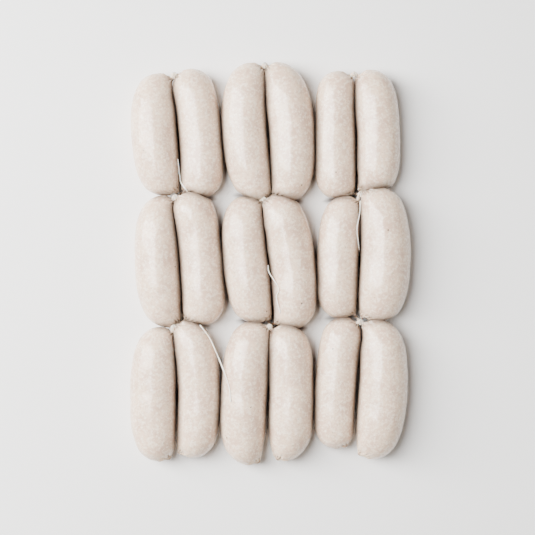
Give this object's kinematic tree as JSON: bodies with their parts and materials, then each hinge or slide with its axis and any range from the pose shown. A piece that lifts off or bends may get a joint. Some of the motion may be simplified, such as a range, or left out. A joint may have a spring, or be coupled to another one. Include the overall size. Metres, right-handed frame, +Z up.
{
  "type": "string of sausage links",
  "caption": "Raw pale sausage links joined in pairs by twisted casing, laid flat side by side in rows, with short ends touching.",
  "frame": {"origin": "under the middle of the whole string, on the surface that it lies on", "axes": "+Y along the links towards the first pairs, +X across the three runs to the right as seen from above, +Z up"},
  "size_m": [0.1734, 0.2488, 0.0281],
  "materials": {
    "meat": "damp satin, pale cream meat mottled with pink and fat under thin casing",
    "casing": "damp, twisted, half clear natural casing"
  },
  "bodies": {
    "root": {"knot_r1p1": "casing", "knot_r1p2": "casing", "knot_r1p3": "casing", "knot_r2p1": "casing", "knot_r2p2": "casing", "knot_r2p3": "casing", "knot_r3p1": "casing", "knot_r3p2": "casing", "knot_r3p3": "casing", "link_r1p1_left": "meat", "link_r1p1_right": "meat", "link_r1p2_left": "meat", "link_r1p2_right": "meat", "link_r1p3_left": "meat", "link_r1p3_right": "meat", "link_r2p1_left": "meat", "link_r2p1_right": "meat", "link_r2p2_left": "meat", "link_r2p2_right": "meat", "link_r2p3_left": "meat", "link_r2p3_right": "meat", "link_r3p1_left": "meat", "link_r3p1_right": "meat", "link_r3p2_left": "meat", "link_r3p2_right": "meat", "link_r3p3_left": "meat", "link_r3p3_right": "meat", "thread_1": "casing", "thread_2": "casing", "thread_3": "casing", "thread_4": "casing"}
  },
  "joints": []
}
